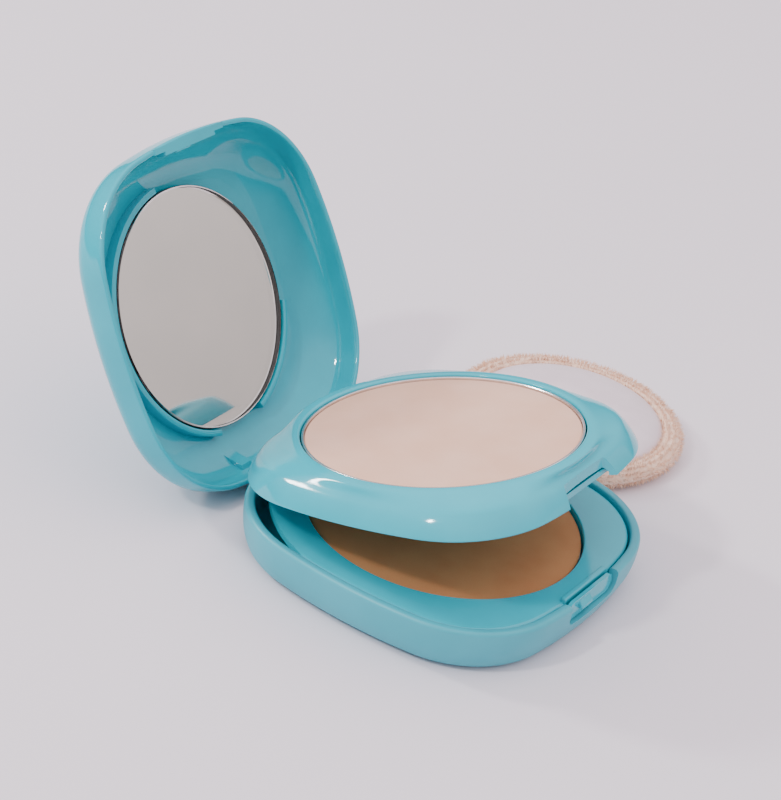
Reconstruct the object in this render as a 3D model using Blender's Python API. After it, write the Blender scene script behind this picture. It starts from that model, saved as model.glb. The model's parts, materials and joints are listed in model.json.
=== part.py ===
"""Two-level powder compact, in metres, +Z up: a base with a pan of powder, a hinged tray with
a second pan, a deep lid with a mirror, and the round puff lying beside it. The origin is the
centre of the base's underside, +Y points to the hinge and -Y to the latch. Every piece of the
tray and the lid is modelled as it lies in the closed compact, and then turned open."""

import math

import bmesh
import bpy
from mathutils import Matrix, Vector

# Plan of the casing: a rounded square with slightly bulging sides.
HALF_X = 0.0389
HALF_Y = 0.0377
CORNER = 0.0239
BULGE = 0.0010
SIDE_STEPS = 4
CORNER_STEPS = 8

# Heights in the closed compact.
BASE_RIM_Z = 0.0107
DECK_Z = 0.0100
DECK_BACK_R = 0.0373
TRAY_EDGE_Z = 0.0140
TRAY_TOP_Z = 0.0209
LID_RIM_Z = 0.0110
LID_TOP_Z = 0.0256
LID_CEILING_Z = 0.0236

# The hinge line, and how far the leaves stand open.
HINGE_Y = 0.0366
HINGE_Z = 0.0064
TRAY_OPEN = math.radians(14.35)
LID_OPEN = math.radians(120.87)
PIN_R = 0.0008
PIN_HOLE_R = 0.00095
ARM_R = 0.0020
CHEEK_R = 0.0023
PIN_X = (0.0020, 0.0137)
TRAY_ARM_X = (0.0018, 0.0059)
LID_ARM_X = (0.0063, 0.0103)
CHEEK_X = (0.0109, 0.0146)

# Pans of pressed powder.
PAN_R = 0.0295
PAN_WALL = 0.0005
PAN_HEIGHT = 0.0039
POWDER_R = 0.0288
POWDER_DROP = 0.0004
SEAT_R = 0.0298
GLUE_R = 0.0240
GLUE_THICK = 0.0003
LOWER_PAN_Z = 0.0057
UPPER_PAN_Z = 0.0166

# Latch.
RECESS_HALF = 0.0095
RECESS_FLOOR_Z = 0.0056
BUTTON_HALF = 0.0090
BUTTON_Y = (-0.0363, -0.0355)
BUTTON_Z = (0.0060, 0.0104)
HOOK_X = -0.0026
HOOK_HALF = 0.0022
SPRING_Z = 0.0072

# Mirror and the arc ribs round it.
MIRROR_R = 0.0266
MIRROR_Z = 0.0212
MIRROR_THICK = 0.0018
RIB_R = (0.0270, 0.0284)
RIB_Z = 0.0210
LEFT_RIB = (math.radians(103), math.radians(262))
RIGHT_RIB = (math.radians(15), math.radians(71))

# Puff, lying on the table beside the base.
PUFF_R = 0.0280
PUFF_X = HALF_X + PUFF_R + 0.0006
PUFF_Y = 0.0077
PUFF_TOP_Z = 0.0084

GAP = 0.0003
TURN_STEPS = 48

LID_PIVOT = "lid_hinge_line"
TRAY_PIVOT = "tray_hinge_line"


def clear_scene():
    for old in list(bpy.data.objects):
        bpy.data.objects.remove(old, do_unlink=True)


def finish(name, colour, roughness, metallic=0.0):
    """A plain Principled finish."""
    material = bpy.data.materials.new(name)
    material.use_nodes = True
    shader = material.node_tree.nodes["Principled BSDF"]
    shader.inputs["Base Color"].default_value = (*colour, 1.0)
    shader.inputs["Roughness"].default_value = roughness
    shader.inputs["Metallic"].default_value = metallic
    return material


def pivot(name, opening):
    """An empty on the hinge line, turned open about it."""
    empty = bpy.data.objects.new(name, None)
    empty.location = (0.0, HINGE_Y, HINGE_Z)
    empty.rotation_euler = (-opening, 0.0, 0.0)
    bpy.context.scene.collection.objects.link(empty)
    return empty


def place(bm, name, material=None, parent=None):
    """Turns the bmesh into an object, with its origin on its pivot if it has one."""
    bmesh.ops.recalc_face_normals(bm, faces=bm.faces)
    if parent:
        bmesh.ops.translate(bm, verts=bm.verts, vec=(0.0, -HINGE_Y, -HINGE_Z))
    mesh = bpy.data.meshes.new(name)
    bm.to_mesh(mesh)
    bm.free()
    mesh.shade_smooth()
    mesh.set_sharp_from_angle(angle=math.radians(35))
    item = bpy.data.objects.new(name, mesh)
    item.parent = parent
    if material:
        mesh.materials.append(material)
    bpy.context.scene.collection.objects.link(item)
    return item


def helper(item):
    """Hides a cutter or an added lump, which is only read by a Boolean."""
    item.hide_render = True
    item.display_type = "WIRE"
    return item


def combine(target, other, operation):
    modifier = target.modifiers.new(operation.lower() + "_" + other.name, "BOOLEAN")
    modifier.operation = operation
    modifier.solver = "EXACT"
    modifier.object = helper(other)


def outline(inset):
    """The plan of the casing, drawn in by inset: (x, y) pairs, counter-clockwise."""
    radius = CORNER - inset
    reach = (HALF_X - CORNER, HALF_Y - CORNER)
    points = []
    for quarter in range(4):
        along = reach[quarter % 2]
        off = reach[(quarter + 1) % 2]
        half = along - BULGE
        arc = (half**2 + BULGE**2) / (2.0 * BULGE)
        lean = math.asin(half / arc)
        next_arc = ((off - BULGE) ** 2 + BULGE**2) / (2.0 * BULGE)
        next_lean = math.asin((off - BULGE) / next_arc)
        local = []
        for step in range(SIDE_STEPS + 1):
            angle = lean * (1.0 - 2.0 * step / SIDE_STEPS)
            local.append(((arc + radius) * math.sin(angle), off - arc + (arc + radius) * math.cos(angle)))
        start = math.pi / 2 + lean
        end = math.pi - next_lean
        for step in range(1, CORNER_STEPS):
            angle = start + (end - start) * step / CORNER_STEPS
            local.append((-half + radius * math.cos(angle), off - BULGE + radius * math.sin(angle)))
        cosine, sine = ((1, 0), (0, 1), (-1, 0), (0, -1))[quarter]
        points += [(x * cosine - y * sine, x * sine + y * cosine) for x, y in local]
    return points


def circle(radius):
    """A circle with its points on the same bearings as the plan's."""
    bearings = [math.atan2(y, x) for x, y in outline(0.0)]
    return [(radius * math.cos(bearing), radius * math.sin(bearing)) for bearing in bearings]


def lofted(rings, closed=False):
    """A shell through rings of (points, height): capped at both ends, or closed on itself."""
    bm = bmesh.new()
    loops = [[bm.verts.new((x, y, height)) for x, y in points] for points, height in rings]
    pairs = list(zip(loops, loops[1:]))
    if closed:
        pairs.append((loops[-1], loops[0]))
    else:
        bm.faces.new(loops[0])
        bm.faces.new(loops[-1])
    for lower, upper in pairs:
        for i in range(len(lower)):
            bm.faces.new((lower[i - 1], lower[i], upper[i], upper[i - 1]))
    return bm


def turned(profile, centre=(0.0, 0.0), steps=TURN_STEPS):
    """A solid of revolution about Z from (radius, height) pairs, which start and end on the axis."""
    bm = bmesh.new()
    corners = [bm.verts.new((radius, 0.0, height)) for radius, height in profile]
    edges = [bm.edges.new(pair) for pair in zip(corners, corners[1:])]
    bmesh.ops.spin(
        bm,
        geom=corners + edges,
        cent=(0.0, 0.0, 0.0),
        axis=(0.0, 0.0, 1.0),
        angle=2.0 * math.pi,
        steps=steps,
        use_merge=True,
    )
    bmesh.ops.remove_doubles(bm, verts=bm.verts, dist=0.000001)
    bmesh.ops.translate(bm, verts=bm.verts, vec=(*centre, 0.0))
    return bm


def block(low, high, rounding=0.0):
    """A box between two corners, with its edges along Y rounded."""
    bm = bmesh.new()
    bmesh.ops.create_cube(bm, size=1.0)
    low = Vector(low)
    high = Vector(high)
    bmesh.ops.scale(bm, vec=high - low, verts=bm.verts)
    bmesh.ops.translate(bm, vec=(low + high) / 2.0, verts=bm.verts)
    if rounding:
        along_y = [edge for edge in bm.edges if abs(edge.verts[0].co.y - edge.verts[1].co.y) > GAP]
        bmesh.ops.bevel(
            bm, geom=along_y, offset=rounding, segments=4, affect="EDGES", profile=0.5, material=-1
        )
    return bm


def rod(radius, low_x, high_x, steps=24):
    """A round bar along the hinge line."""
    bm = bmesh.new()
    bmesh.ops.create_cone(
        bm, cap_ends=True, segments=steps, radius1=radius, radius2=radius, depth=high_x - low_x
    )
    bmesh.ops.rotate(bm, verts=bm.verts, matrix=Matrix.Rotation(math.pi / 2, 3, "Y"))
    centre = ((low_x + high_x) / 2.0, HINGE_Y, HINGE_Z)
    bmesh.ops.translate(bm, verts=bm.verts, vec=centre)
    return bm


def swept(radii, start, end, low, high, steps=20):
    """A body of rectangular section, swept about Z from one bearing to another."""
    bm = bmesh.new()
    section = [(radii[0], low), (radii[1], low), (radii[1], high), (radii[0], high)]
    turn = Matrix.Rotation(start, 3, "Z")
    corners = [bm.verts.new(turn @ Vector((radius, 0.0, height))) for radius, height in section]
    face = bm.faces.new(corners)
    bmesh.ops.spin(
        bm,
        geom=[face] + list(face.edges) + corners,
        cent=(0.0, 0.0, 0.0),
        axis=(0.0, 0.0, 1.0),
        angle=end - start,
        steps=steps,
    )
    return bm


def mirrored(span, side):
    """A span along X on the right (side 1) or the left (side -1)."""
    return span if side > 0 else (-span[1], -span[0])


def drill_pin_holes(item, span, parent=None):
    for side in (-1, 1):
        low, high = mirrored(span, side)
        hole = rod(PIN_HOLE_R, low, high)
        combine(item, place(hole, f"{item.name}_pin_hole{side:+d}", parent=parent), "DIFFERENCE")


def add_arms(item, span, web_low, web_high, parent):
    """Two hinge arms that reach from a leaf down to the pins."""
    for side in (-1, 1):
        low, high = mirrored(span, side)
        barrel = place(rod(ARM_R, low, high), f"{item.name}_barrel{side:+d}", parent=parent)
        web = block((low + GAP, web_low[0], web_low[1]), (high - GAP, web_high[0], web_high[1]))
        combine(barrel, place(web, f"{item.name}_web{side:+d}", parent=parent), "UNION")
        combine(item, barrel, "UNION")


def make_base(teal):
    rings = [
        (outline(0.0058), 0.0),
        (outline(0.0034), 0.0005),
        (outline(0.0020), 0.0013),
        (outline(0.0012), 0.0026),
        (outline(0.0005), 0.0047),
        (outline(0.0001), 0.0072),
        (outline(0.0000), 0.0098),
        (outline(0.0005), BASE_RIM_Z - 0.0001),
        (outline(0.0011), BASE_RIM_Z),
        (outline(0.0018), BASE_RIM_Z - 0.0001),
        (outline(0.0022), 0.0101),
        (outline(0.0022), 0.0032),
        (outline(0.0032), 0.0018),
        (outline(0.0052), 0.0016),
    ]
    shell = place(lofted(rings), "base_shell", teal)
    recess = block((-RECESS_HALF, -0.045, RECESS_FLOOR_Z), (RECESS_HALF, -0.0340, 0.014), 0.0022)
    combine(shell, place(recess, "latch_recess"), "DIFFERENCE")
    hinge_recess = block((-0.0106, 0.0330, 0.0023), (0.0106, 0.045, 0.014))
    combine(shell, place(hinge_recess, "hinge_recess"), "DIFFERENCE")
    for side in (-1, 1):
        low, high = mirrored(CHEEK_X, side)
        combine(shell, place(rod(CHEEK_R, low, high), f"hinge_cheek{side:+d}"), "UNION")
    drill_pin_holes(shell, (0.0100, 0.0140))


def make_deck(teal):
    rings = [
        (circle(PAN_R + 0.0002), LOWER_PAN_Z - 0.0007),
        (circle(SEAT_R), DECK_Z - GAP),
        (circle(SEAT_R + GAP), DECK_Z),
        (outline(0.0034), DECK_Z),
        (outline(0.0026), DECK_Z - 0.0007),
        (outline(0.0026), 0.0033),
        (outline(0.0037), 0.0033),
        (outline(0.0037), DECK_Z - 0.0013),
        (circle(SEAT_R + 0.0011), DECK_Z - 0.0013),
        (circle(SEAT_R + 0.0011), 0.0041),
    ]
    deck = place(lofted(rings), "base_deck", teal)
    button_way = block((-0.0100, -0.045, 0.0), (0.0100, -0.0349, 0.014))
    combine(deck, place(button_way, "button_way"), "DIFFERENCE")
    leg_way = block((-0.0100, -0.0360, 0.0), (0.0100, -0.0330, DECK_Z - 0.0014))
    combine(deck, place(leg_way, "leg_way"), "DIFFERENCE")
    arm_way = block((-0.0150, 0.0330, 0.0), (0.0150, 0.045, 0.014))
    combine(deck, place(arm_way, "arm_way"), "DIFFERENCE")
    corners = swept((DECK_BACK_R, 0.050), math.radians(9.0), math.radians(171.0), 0.001, 0.014, 48)
    combine(deck, place(corners, "back_corners"), "DIFFERENCE")
    rib = block((-0.0086, -0.0349, DECK_Z - 0.0009), (0.0086, -0.0336, DECK_Z + 0.0009))
    combine(deck, place(rib, "latch_rib"), "UNION")


def make_pan(name, floor_z, metal, parent=None):
    top = floor_z + PAN_HEIGHT
    inner = PAN_R - PAN_WALL
    profile = [
        (0.0, floor_z),
        (PAN_R - 0.0006, floor_z),
        (PAN_R, floor_z + 0.0006),
        (PAN_R, top),
        (inner, top),
        (inner, floor_z + PAN_WALL),
        (0.0, floor_z + PAN_WALL),
    ]
    place(turned(profile), name, metal, parent)


def make_powder(name, floor_z, cake, parent=None):
    low = floor_z + PAN_WALL + 0.0001
    high = floor_z + PAN_HEIGHT - POWDER_DROP
    profile = [
        (0.0, low),
        (POWDER_R, low),
        (POWDER_R, high - 0.0003),
        (POWDER_R - 0.0004, high),
        (0.0, high + 0.0002),
    ]
    place(turned(profile), name, cake, parent)


def make_glue(name, top_z, glue, parent=None):
    low = top_z - GLUE_THICK
    profile = [(0.0, low), (GLUE_R, low), (GLUE_R, top_z), (0.0, top_z)]
    place(turned(profile), name, glue, parent)


def make_button(teal):
    plate = block(
        (-BUTTON_HALF, BUTTON_Y[0], BUTTON_Z[0]), (BUTTON_HALF, BUTTON_Y[1], BUTTON_Z[1]), 0.0019
    )
    button = place(plate, "latch_button", teal)
    hook = block(
        (HOOK_X - HOOK_HALF, BUTTON_Y[0] - 0.0010, 0.0078),
        (HOOK_X + HOOK_HALF, BUTTON_Y[0] + 0.0002, 0.0098),
    )
    hook_nose = [corner for corner in hook.verts if corner.co.y < BUTTON_Y[0] and corner.co.z > 0.009]
    bmesh.ops.translate(hook, vec=(0.0, 0.0, -0.0013), verts=hook_nose)
    combine(button, place(hook, "button_hook"), "UNION")
    for side in (-1, 1):
        low, high = mirrored((0.0050, 0.0080), side)
        leg = block((low, BUTTON_Y[1] - 0.0002, 0.0062), (high, -0.0334, 0.0074))
        combine(button, place(leg, f"button_leg{side:+d}"), "UNION")


def make_spring(steel):
    """A small coil between the button and the well of the lower pan."""
    turns = 5
    points_per_turn = 10
    start_y = BUTTON_Y[1] + 0.0003
    end_y = -0.0314
    coil_r = 0.0010
    curve = bpy.data.curves.new("latch_spring", "CURVE")
    curve.dimensions = "3D"
    curve.bevel_depth = 0.00015
    curve.bevel_resolution = 1
    curve.use_fill_caps = True
    spline = curve.splines.new("POLY")
    count = turns * points_per_turn
    spline.points.add(count)
    for index in range(count + 1):
        angle = 2.0 * math.pi * index / points_per_turn
        y = start_y + (end_y - start_y) * index / count
        spline.points[index].co = (coil_r * math.cos(angle), y, SPRING_Z + coil_r * math.sin(angle), 1.0)
    curve.materials.append(steel)
    item = bpy.data.objects.new("latch_spring", curve)
    bpy.context.scene.collection.objects.link(item)


def make_tray(teal, parent):
    rings = [
        (outline(0.0017), TRAY_EDGE_Z),
        (outline(0.0018), 0.0147),
        (outline(0.0024), 0.0161),
        (outline(0.0037), 0.0178),
        (outline(0.0053), 0.0193),
        (circle(SEAT_R + 0.0022), TRAY_TOP_Z - 0.0002),
        (circle(SEAT_R + 0.0006), TRAY_TOP_Z),
        (circle(SEAT_R), TRAY_TOP_Z - GAP),
        (circle(SEAT_R), 0.0156),
        (circle(SEAT_R + 0.0011), 0.0156),
        (circle(SEAT_R + 0.0012), 0.0190),
        (outline(0.0062), 0.0180),
        (outline(0.0046), 0.0164),
        (outline(0.0031), 0.0147),
        (outline(0.0031), TRAY_EDGE_Z),
    ]
    tray = place(lofted(rings, closed=True), "tray_frame", teal, parent)
    notch = block((-0.0114, -0.0386, 0.0100), (0.0114, -0.0333, 0.0250))
    inner_corners = [corner for corner in notch.verts if corner.co.y > -0.036]
    bmesh.ops.scale(notch, vec=(0.71, 1.0, 1.0), verts=inner_corners)
    combine(tray, place(notch, "finger_notch", parent=parent), "DIFFERENCE")
    add_arms(tray, TRAY_ARM_X, (0.0349, HINGE_Z - GAP), (0.0362, 0.0150), parent)
    drill_pin_holes(tray, (0.0010, 0.0070), parent)


def make_underplate(teal, parent):
    rings = [
        (outline(0.0034), TRAY_EDGE_Z),
        (outline(0.0034), 0.0145),
        (outline(0.0042), 0.0153),
    ]
    plate = place(lofted(rings), "tray_underplate", teal, parent)
    notch = block((-0.0106, -0.0450, 0.0100), (0.0106, -0.0330, 0.0250))
    combine(plate, place(notch, "underplate_notch", parent=parent), "DIFFERENCE")
    arm_way = block((-0.0062, 0.0343, 0.0), (0.0062, 0.045, 0.02))
    combine(plate, place(arm_way, "underplate_arm_way", parent=parent), "DIFFERENCE")


def make_lid(teal, parent):
    rings = [
        (outline(0.0002), LID_RIM_Z),
        (outline(0.0000), 0.0115),
        (outline(0.0000), 0.0150),
        (outline(0.0004), 0.0171),
        (outline(0.0016), 0.0189),
        (outline(0.0036), 0.0208),
        (outline(0.0064), 0.0227),
        (outline(0.0100), 0.0243),
        (outline(0.0150), 0.0252),
        (outline(0.0210), LID_TOP_Z),
        (outline(0.0210), LID_CEILING_Z),
        (outline(0.0120), LID_CEILING_Z),
        (outline(0.0086), 0.0229),
        (outline(0.0056), 0.0213),
        (outline(0.0032), 0.0192),
        (outline(0.0017), 0.0170),
        (outline(0.0012), 0.0150),
        (outline(0.0012), LID_RIM_Z),
    ]
    top = rings.index((outline(0.0210), LID_TOP_Z))
    upper = rings[: top + 1]
    lower = rings[top + 1 :]
    order = list(reversed(upper)) + list(reversed(lower))
    lid = place(lofted(order), "lid_shell", teal, parent)
    for name, (start, end) in (("left_rib", LEFT_RIB), ("right_rib", RIGHT_RIB)):
        rib = swept(RIB_R, start, end, RIB_Z, LID_CEILING_Z + 0.0005)
        combine(lid, place(rib, name, parent=parent), "UNION")
    flange = block((-0.0120, -0.0371, LID_RIM_Z - 0.0002), (0.0120, -0.0358, 0.0150), 0.0006)
    combine(lid, place(flange, "catch_flange", parent=parent), "UNION")
    catch = block((HOOK_X - 0.0025, -0.0362, 0.0112), (HOOK_X + 0.0025, -0.0352, 0.0124))
    combine(lid, place(catch, "catch_nose", parent=parent), "UNION")
    add_arms(lid, LID_ARM_X, (0.0352, HINGE_Z - GAP), (0.0374, 0.0128), parent)
    drill_pin_holes(lid, (0.0060, 0.0108), parent)


def make_mirror(glass, tape, parent):
    back = MIRROR_Z + MIRROR_THICK
    profile = [
        (0.0, MIRROR_Z),
        (MIRROR_R - 0.0010, MIRROR_Z),
        (MIRROR_R, MIRROR_Z + 0.0005),
        (MIRROR_R, back),
        (0.0, back),
    ]
    place(turned(profile), "mirror", glass, parent)
    make_glue("mirror_tape", LID_CEILING_Z - 0.0001, tape, parent)


def make_pins(steel):
    for side, label in ((-1, "left"), (1, "right")):
        low, high = mirrored(PIN_X, side)
        place(rod(PIN_R, low, high), f"hinge_pin_{label}", steel)


def make_puff(velour, foam, satin):
    centre = (PUFF_X, PUFF_Y)
    cup = [
        (0.0, 0.0),
        (PUFF_R - 0.0030, 0.0),
        (PUFF_R - 0.0008, 0.0012),
        (PUFF_R, 0.0034),
        (PUFF_R - 0.0006, 0.0060),
        (PUFF_R - 0.0022, 0.0072),
        (PUFF_R - 0.0030, 0.0066),
        (PUFF_R - 0.0024, 0.0034),
        (PUFF_R - 0.0036, 0.0016),
        (0.0, 0.0014),
    ]
    place(turned(cup, centre), "puff_velour", velour)
    core_r = PUFF_R - 0.0040
    core = [(0.0, 0.0017), (core_r - 0.0006, 0.0019), (core_r, 0.0034), (core_r - 0.0008, 0.0062), (0.0, 0.0068)]
    place(turned(core, centre), "puff_foam", foam)
    face_r = PUFF_R - 0.0026
    face = [(0.0, 0.0071), (face_r, 0.0075), (face_r, 0.0078), (face_r - 0.0030, PUFF_TOP_Z - 0.0001), (0.0, PUFF_TOP_Z)]
    place(turned(face, centre), "puff_satin", satin)


def main():
    clear_scene()
    teal = finish("teal_casing", (0.20, 0.55, 0.62), 0.3)
    metal = finish("pan_aluminium", (0.8, 0.8, 0.8), 0.3, 1.0)
    steel = finish("steel", (0.6, 0.6, 0.6), 0.3, 1.0)
    pale_cake = finish("pale_powder", (0.68, 0.50, 0.42), 0.9)
    tan_cake = finish("tan_powder", (0.42, 0.22, 0.10), 0.9)
    glue = finish("glue", (0.8, 0.8, 0.75), 0.5)
    glass = finish("mirror_glass", (0.85, 0.85, 0.85), 0.03, 1.0)
    velour = finish("velour", (0.80, 0.60, 0.48), 0.95)
    foam = finish("foam", (0.85, 0.80, 0.75), 0.95)
    satin = finish("satin", (0.72, 0.64, 0.70), 0.5)

    tray_line = pivot(TRAY_PIVOT, TRAY_OPEN)
    lid_line = pivot(LID_PIVOT, LID_OPEN)

    make_base(teal)
    make_deck(teal)
    make_glue("lower_pan_glue", LOWER_PAN_Z - 0.0001, glue)
    make_pan("lower_pan", LOWER_PAN_Z, metal)
    make_powder("lower_powder", LOWER_PAN_Z, tan_cake)
    make_button(teal)
    make_spring(steel)
    make_pins(steel)

    make_tray(teal, tray_line)
    make_underplate(teal, tray_line)
    make_glue("upper_pan_glue", UPPER_PAN_Z - 0.0001, glue, tray_line)
    make_pan("upper_pan", UPPER_PAN_Z, metal, tray_line)
    make_powder("upper_powder", UPPER_PAN_Z, pale_cake, tray_line)

    make_lid(teal, lid_line)
    make_mirror(glass, glue, lid_line)
    make_puff(velour, foam, satin)


main()
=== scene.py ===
# %% [markdown]
# A powder compact: a turquoise moulded case of three leaves on one hinge line. The base leaf holds a
# tan pressed powder and the latch, the middle leaf a pale pressed powder, and the lid a round mirror.
# A round puff, velour below and satin above, lies beside the case. Everything is in metres, Z up, in
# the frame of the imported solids, which give every place and every hinge.

# %% Load the frame
import json
import math
import random

import bmesh
import bpy
from mathutils import Matrix, Vector

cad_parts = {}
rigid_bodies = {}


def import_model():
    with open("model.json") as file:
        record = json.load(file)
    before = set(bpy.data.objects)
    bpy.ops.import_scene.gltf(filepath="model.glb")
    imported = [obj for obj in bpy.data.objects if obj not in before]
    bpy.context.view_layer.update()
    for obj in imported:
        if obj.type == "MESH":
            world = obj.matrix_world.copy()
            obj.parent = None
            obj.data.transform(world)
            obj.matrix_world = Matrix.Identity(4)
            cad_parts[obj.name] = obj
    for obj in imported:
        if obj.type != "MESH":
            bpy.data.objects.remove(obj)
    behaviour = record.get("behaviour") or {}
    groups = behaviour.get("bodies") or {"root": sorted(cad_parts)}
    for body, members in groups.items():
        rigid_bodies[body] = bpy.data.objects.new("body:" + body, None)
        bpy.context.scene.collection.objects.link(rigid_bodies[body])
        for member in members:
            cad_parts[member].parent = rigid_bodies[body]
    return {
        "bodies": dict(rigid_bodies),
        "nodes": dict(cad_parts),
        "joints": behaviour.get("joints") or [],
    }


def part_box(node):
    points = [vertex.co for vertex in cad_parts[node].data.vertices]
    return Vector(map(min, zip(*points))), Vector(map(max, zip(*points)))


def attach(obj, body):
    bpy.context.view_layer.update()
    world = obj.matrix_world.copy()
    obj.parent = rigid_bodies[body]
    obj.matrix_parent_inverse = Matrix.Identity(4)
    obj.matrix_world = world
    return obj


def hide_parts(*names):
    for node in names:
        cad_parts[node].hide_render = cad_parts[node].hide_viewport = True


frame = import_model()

# The startup scene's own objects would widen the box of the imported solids, so they go first.
known = set(frame["nodes"].values()) | set(frame["bodies"].values())
for stray in [item for item in bpy.data.objects if item not in known]:
    bpy.data.objects.remove(stray, do_unlink=True)
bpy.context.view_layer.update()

# %% [markdown]
# The middle leaf and the lid were packed half open. The middle leaf closes when its hinge reaches its
# lowest angle, and so does the lid, so those limits say how far each leaf stands open. The leaves are
# modelled closed, where their walls are upright, and then turned open about the hinge line.

# %% Hinge line and opening angles
joints = {joint["name"]: joint for joint in frame["joints"]}
hinge = Vector(joints["tray_hinge"]["pos_m"])
tray_open = -math.radians(joints["tray_hinge"]["range_deg"][0])
lid_open = tray_open - math.radians(joints["lid_hinge"]["range_deg"][0])


def turned_open(angle):
    """The move that opens a leaf by that angle about the hinge line."""
    return Matrix.Translation(hinge) @ Matrix.Rotation(-angle, 4, "X") @ Matrix.Translation(-hinge)


OPENED = {"base": Matrix(), "latch": Matrix(), "puff": Matrix()}
OPENED["tray"] = turned_open(tray_open)
OPENED["lid"] = turned_open(lid_open)
print("open by", round(math.degrees(tray_open), 2), round(math.degrees(lid_open), 2))

# %% [markdown]
# A long lens from half a metre away keeps the round pans from looking stretched, as in a picture of a
# small product on a table. The camera looks down by 30 degrees from the front left and leans a little.

# %% Camera
AZIMUTH = math.radians(-61.695)
ELEVATION = math.radians(29.782)
LEAN = math.radians(11.240)
DISTANCE = 0.54175
SIDEWAYS = -0.01148
UPWARDS = 0.02425
LOOKED_AT = Vector((0, 0, 0.010))
FOCAL_LENGTH_MM = 115.93
SENSOR_MM = 36.0


def add_camera():
    away = Vector(
        (
            math.sin(AZIMUTH) * math.cos(ELEVATION),
            -math.cos(AZIMUTH) * math.cos(ELEVATION),
            math.sin(ELEVATION),
        )
    )
    level = (-away).cross(Vector((0, 0, 1))).normalized()
    upright = level.cross(-away)
    right = math.cos(LEAN) * level + math.sin(LEAN) * upright
    up = math.cos(LEAN) * upright - math.sin(LEAN) * level
    data = bpy.data.cameras.new("camera")
    data.lens = FOCAL_LENGTH_MM
    data.sensor_width = SENSOR_MM
    data.clip_start = 0.01
    camera = bpy.data.objects.new("camera", data)
    place = LOOKED_AT + away * DISTANCE + right * SIDEWAYS + up * UPWARDS
    turn = Matrix((right, up, away)).transposed().to_4x4()
    camera.matrix_world = Matrix.Translation(place) @ turn
    bpy.context.scene.collection.objects.link(camera)
    bpy.context.scene.camera = camera
    return camera


camera = add_camera()
print("camera at", [round(v, 3) for v in camera.matrix_world.translation])

# %% [markdown]
# A material is a small network of nodes. One function adds a node, sets its settings, and fills each
# input with a value or with another node's output. Colours are written as sRGB hex, as in a paint
# chart, and turned to the linear values that the shader needs.

# %% Helpers for materials
MM = 0.001


def linear(hex_colour):
    """An sRGB hex colour as linear RGBA."""
    channels = [int(hex_colour[i : i + 2], 16) / 255 for i in (1, 3, 5)]
    curve = [c / 12.92 if c <= 0.04045 else ((c + 0.055) / 1.055) ** 2.4 for c in channels]
    return (*curve, 1.0)


def add_node(tree, kind, inputs=(), **settings):
    """Adds a node with its settings; inputs is {socket name or number: value or another socket}."""
    node = tree.nodes.new(kind)
    for name, value in settings.items():
        setattr(node, name, value)
    for name, value in dict(inputs).items():
        if isinstance(value, bpy.types.NodeSocket):
            tree.links.new(value, node.inputs[name])
        else:
            node.inputs[name].default_value = value
    return node


def new_material(name):
    """An empty material: returns it with its tree, its Principled shader and the Object coordinates."""
    material = bpy.data.materials.new(name)
    material.use_nodes = True
    tree = material.node_tree
    shader = tree.nodes["Principled BSDF"]
    place = add_node(tree, "ShaderNodeTexCoord").outputs["Object"]
    return material, tree, shader, place


def cloudy(tree, place, size, low, high, detail=3.0):
    """A colour that drifts between two hex colours in patches of that size in metres."""
    noise = add_node(
        tree, "ShaderNodeTexNoise", {"Vector": place, "Scale": 1.0 / size, "Detail": detail}
    )
    ramp = add_node(tree, "ShaderNodeValToRGB", {"Fac": noise.outputs["Fac"]})
    ramp.color_ramp.elements[0].position = 0.35
    ramp.color_ramp.elements[1].position = 0.65
    ramp.color_ramp.elements[0].color = linear(low)
    ramp.color_ramp.elements[1].color = linear(high)
    return ramp.outputs["Color"]


# %% [markdown]
# The case is injection-moulded ABS, dyed right through. Its outside is moulded against a fine spark
# texture, so it is satin and shows no sharp reflections. Its inside is moulded against polished steel,
# so it is glossy, and the thin walls sink a little as they cool, which makes the reflections waver.
# The middle leaf, the deck and the button are a little less glossy than the inside of the lid.

# %% Moulded ABS
def moulded_abs(name, low, high, roughness, grain, grain_depth, sink_depth):
    """Dyed ABS. Grain is its fine surface texture, and sink the slow waves of a cooled wall."""
    material, tree, shader, place = new_material(name)
    tree.links.new(cloudy(tree, place, 14 * MM, low, high), shader.inputs["Base Color"])
    shader.inputs["IOR"].default_value = 1.54
    shader.inputs["Roughness"].default_value = roughness
    sink = add_node(
        tree, "ShaderNodeTexNoise", {"Vector": place, "Scale": 1.0 / (9 * MM), "Detail": 1.0}
    )
    grains = add_node(
        tree, "ShaderNodeTexNoise", {"Vector": place, "Scale": 1.0 / grain, "Detail": 2.0}
    )
    wave = add_node(
        tree,
        "ShaderNodeBump",
        {"Height": sink.outputs["Fac"], "Strength": 1.0, "Distance": sink_depth},
    )
    bump = add_node(
        tree,
        "ShaderNodeBump",
        {
            "Height": grains.outputs["Fac"],
            "Strength": 1.0,
            "Distance": grain_depth,
            "Normal": wave.outputs["Normal"],
        },
    )
    tree.links.new(bump.outputs["Normal"], shader.inputs["Normal"])
    return material


satin_abs = moulded_abs(
    "spark_textured_abs",
    "#34A9B8",
    "#3CAFBE",
    roughness=0.40,
    grain=0.25 * MM,
    grain_depth=0.004 * MM,
    sink_depth=0.02 * MM,
)
gloss_abs = moulded_abs(
    "polished_abs",
    "#0CAABA",
    "#14B2C2",
    roughness=0.07,
    grain=0.5 * MM,
    grain_depth=0.0003 * MM,
    sink_depth=0.05 * MM,
)
semi_gloss_abs = moulded_abs(
    "semi_gloss_abs",
    "#20B1C1",
    "#28B7C7",
    roughness=0.10,
    grain=0.4 * MM,
    grain_depth=0.0003 * MM,
    sink_depth=0.03 * MM,
)
print("plastics:", satin_abs.name, gloss_abs.name, semi_gloss_abs.name)

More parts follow.
